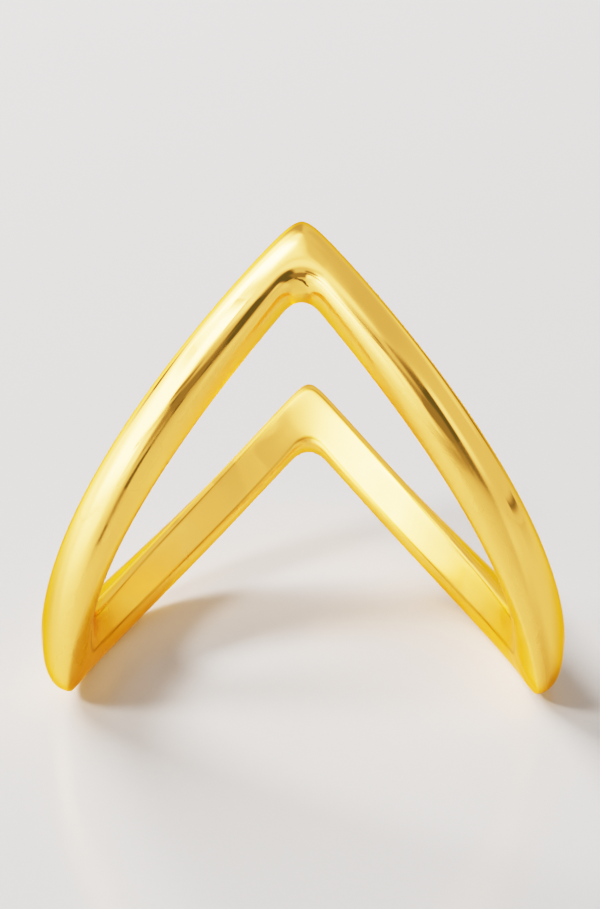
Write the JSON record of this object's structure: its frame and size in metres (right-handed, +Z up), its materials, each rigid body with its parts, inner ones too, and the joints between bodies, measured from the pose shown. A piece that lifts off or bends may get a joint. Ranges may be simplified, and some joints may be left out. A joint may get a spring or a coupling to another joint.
{
  "type": "chevron ring",
  "caption": "Plain polished gold finger ring whose slim rounded band zigzags round the finger, pointed at front and back, resting tipped back on its side points.",
  "frame": {"origin": "middle of the ring's footprint box, on the surface that the ring rests on", "axes": "+X to the ring's right side point, +Y to the back point, +Z up; the finger hole's axis leans back from +Z towards +Y by 42 degrees, as the ring rests by itself"},
  "size_m": [0.0214, 0.02, 0.0197],
  "materials": {
    "gold": "mirror-polished yellow gold"
  },
  "bodies": {
    "root": {"band": "gold"}
  },
  "joints": []
}
